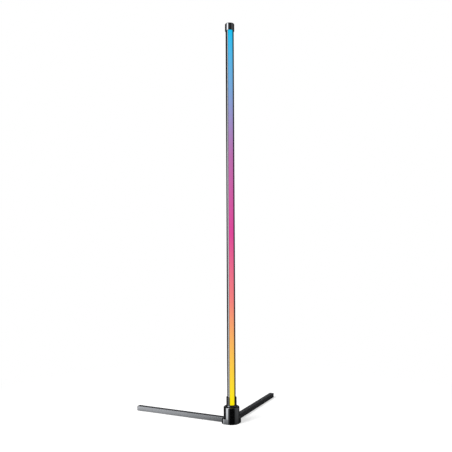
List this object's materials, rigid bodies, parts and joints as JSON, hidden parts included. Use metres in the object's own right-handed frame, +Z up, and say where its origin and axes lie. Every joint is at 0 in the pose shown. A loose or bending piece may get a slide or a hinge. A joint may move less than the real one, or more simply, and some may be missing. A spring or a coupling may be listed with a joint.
{
  "type": "corner floor lamp",
  "caption": "Slim upright light bar with a frosted colour-gradient window, turning in a round hub on two square floor legs set at a right angle for a room corner.",
  "frame": {"origin": "the pole's axis at floor level, on the underside of the hub's rubber foot", "axes": "+Z up along the pole; -Y the front, opposite the corner; the legs run towards -X+Y and +X+Y"},
  "size_m": [0.4758, 0.2616, 1.2],
  "materials": {
    "cap_gloss": "glossy black moulding",
    "pole_black": "black anodised, satin",
    "insert_alloy": "plain sawn extrusion",
    "screw_black": "blackened steel",
    "diffuser_frost": "frosted, lit from behind with a colour gradient",
    "tape_film": "double-sided adhesive film",
    "strip_white": "white solder-masked flexible circuit",
    "chip_cream": "cream light chips",
    "chip_black": "black chip bodies",
    "lead_red": "plastic-insulated leads",
    "lead_black": "plastic-insulated leads",
    "sleeve_black": "die-cast, gloss black enamel",
    "hub_gloss": "gloss black enamel",
    "leg_satin": "satin black powder coat",
    "steel_bright": "zinc-plated steel",
    "glide_black": "slippery black plastic",
    "rubber_black": "matt black rubber",
    "plug_black": "matt black moulding",
    "board_green": "green solder mask",
    "capacitor_sleeve": "dark shrink sleeve",
    "connector_cream": "cream nylon"
  },
  "bodies": {
    "base": {"hub_shell": "hub_gloss", "glide_ring": "glide_black", "roof_washer": "glide_black", "stop_pin": "steel_bright", "base_plate": "steel_bright", "plate_screws": "steel_bright", "base_foot": "rubber_black", "left_leg": "leg_satin", "right_leg": "leg_satin", "left_tongue": "steel_bright", "right_tongue": "steel_bright", "leg_bolts": "steel_bright", "tongue_screws": "steel_bright", "left_end_plug": "plug_black", "right_end_plug": "plug_black", "left_pad": "rubber_black", "right_pad": "rubber_black", "power_inlet": "plug_black", "inlet_nut": "steel_bright", "inlet_leads": "lead_black", "control_board": "board_green", "board_screws": "steel_bright", "board_chips": "chip_black", "board_capacitor": "capacitor_sleeve", "board_header": "connector_cream", "lead_plug": "connector_cream", "plug_leads": "lead_red"},
    "pole": {"top_cap": "cap_gloss", "pole_upper": "pole_black", "pole_middle": "pole_black", "pole_lower": "pole_black", "joiner_upper": "insert_alloy", "joiner_lower": "insert_alloy", "foot_insert": "insert_alloy", "joiner_screws": "screw_black", "sleeve_screws": "screw_black", "diffuser": "diffuser_frost", "strip_tape": "tape_film", "led_strip": "strip_white", "led_packages": "chip_cream", "strip_drivers": "chip_black", "strip_resistors": "chip_black", "strip_leads": "lead_red", "sleeve": "sleeve_black", "stop_disc": "steel_bright", "spring_washer": "steel_bright", "spigot_nut": "steel_bright"}
  },
  "joints": [
    {"name": "pole_swivel", "type": "hinge", "parent": "base", "child": "pole", "pos_m": [0, 0, 0.047], "axis": [0, 0, 1], "range_deg": [-80, 100]}
  ]
}
